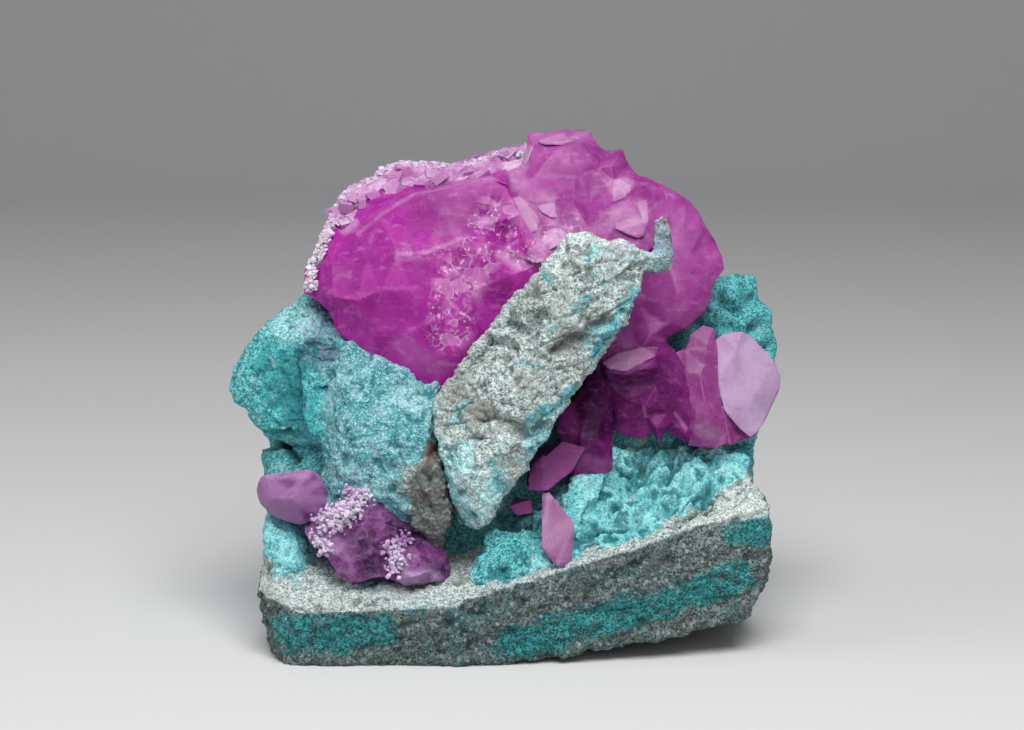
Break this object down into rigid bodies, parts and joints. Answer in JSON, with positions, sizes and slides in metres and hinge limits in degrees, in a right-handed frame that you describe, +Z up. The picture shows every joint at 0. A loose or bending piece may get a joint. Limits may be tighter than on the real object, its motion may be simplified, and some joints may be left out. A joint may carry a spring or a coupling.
{
  "type": "chrysocolla specimen",
  "caption": "Loose hand specimen of rock coated with turquoise chrysocolla and set with magenta calcite crystals, which rests on its flat foot.",
  "frame": {"origin": "under the middle of the specimen's bounding box, in the plane that its flat foot rests on", "axes": "+X to the right and +Y to the back of the specimen as the picture shows it, +Z up"},
  "size_m": [0.075, 0.05, 0.0671],
  "materials": {
    "rock": "rough, granular",
    "magenta_crystal": "glossy, partly clear",
    "dark_crystal": "glossy, partly clear",
    "pale_crystal": "frosted, partly clear",
    "violet_crystal": "sparkling, partly clear",
    "pink_crystal": "glossy, partly clear"
  },
  "bodies": {
    "root": {"matrix_rock": "rock", "crown_crystals": "magenta_crystal", "lower_crystals": "dark_crystal", "pale_crystal": "pale_crystal", "left_crystals": "violet_crystal", "blade_crystal": "pink_crystal", "sliver_crystal": "dark_crystal"}
  },
  "joints": []
}
